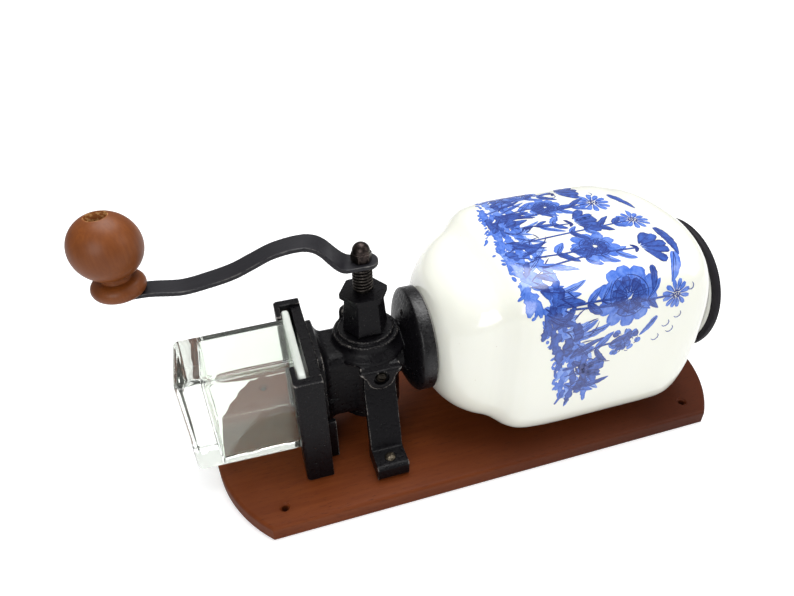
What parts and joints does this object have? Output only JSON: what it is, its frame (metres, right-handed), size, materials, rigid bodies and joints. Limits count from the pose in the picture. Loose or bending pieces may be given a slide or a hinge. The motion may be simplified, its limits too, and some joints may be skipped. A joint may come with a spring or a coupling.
{
  "type": "wall-mounted coffee grinder",
  "caption": "Hand coffee mill on a wooden wall board, with a ceramic bean jar, cast iron housing, crank with a ball knob and a glass cup in a rail holder.",
  "frame": {"origin": "middle of the board's back face, which lies against the wall", "axes": "+Z out of the wall, +X up the wall toward the jar's lid, -Y the side that faces the camera"},
  "size_m": [0.3901, 0.1354, 0.1865],
  "materials": {
    "board_wood": "reddish brown stain under satin varnish",
    "knob_wood": "turned, satin varnish",
    "black_casting": "black enamel over a sand-cast skin",
    "black_strap": "black paint over flat steel strap",
    "screw_steel": "plain steel",
    "burr_steel": "dark hardened steel",
    "jar_glaze": "white glaze",
    "cup_glass": "clear pressed glass",
    "lid_plastic": "satin black",
    "seal_rubber": "matt"
  },
  "bodies": {
    "stand": {"back_board": "board_wood", "mill_housing": "black_casting", "bracket_leg_near": "black_casting", "bracket_leg_far": "black_casting", "foot_screw_near": "screw_steel", "foot_screw_far": "screw_steel", "leg_screw_near": "screw_steel", "leg_screw_far": "screw_steel", "cup_holder": "black_casting", "holder_screw_near": "screw_steel", "holder_screw_far": "screw_steel", "bearing_cover": "black_casting", "cover_screw_near": "screw_steel", "cover_screw_far": "screw_steel", "outer_burr": "burr_steel", "hopper_gasket": "seal_rubber", "ceramic_hopper": "jar_glaze", "clamp_ring": "screw_steel", "clamp_screw_1": "screw_steel", "clamp_screw_2": "screw_steel", "clamp_screw_3": "screw_steel"},
    "cup": {"glass_cup": "cup_glass"},
    "lid": {"hopper_lid": "lid_plastic", "lid_seal": "seal_rubber"},
    "carrier": {"thrust_washer": "screw_steel", "pressure_spring": "burr_steel"},
    "adjuster": {"adjuster_sleeve": "black_casting"},
    "crank": {"spindle": "screw_steel", "inner_burr": "burr_steel", "crank_arm": "black_strap", "acorn_nut": "burr_steel", "knob_pin": "screw_steel"},
    "knob": {"knob": "knob_wood"}
  },
  "joints": [
    {"name": "adjuster_travel", "type": "slide", "parent": "stand", "child": "carrier", "axis": [0, 0, 1], "range_m": [-0.0005, 0.0005]},
    {"name": "adjuster_turn", "type": "hinge", "parent": "carrier", "child": "adjuster", "pos_m": [-0.071, 0, 0.1], "axis": [0, 0, 1], "range_deg": [-180, 180]},
    {"name": "crank_spin", "type": "hinge", "parent": "carrier", "child": "crank", "pos_m": [-0.071, 0, 0.1], "axis": [0, 0, 1], "continuous": true},
    {"name": "knob_spin", "type": "hinge", "parent": "crank", "child": "knob", "pos_m": [-0.1975, 0, 0.16], "axis": [0, 0, 1], "continuous": true},
    {"name": "cup_slide", "type": "slide", "parent": "stand", "child": "cup", "axis": [0, 0, 1], "range_m": [0, 0.045]},
    {"name": "lid_pull", "type": "slide", "parent": "stand", "child": "lid", "axis": [1, 0, 0], "range_m": [0, 0.06]}
  ],
  "couplings": [
    {"joint": "adjuster_turn", "follows": "adjuster_travel", "rad_per_m": 6283.2}
  ]
}
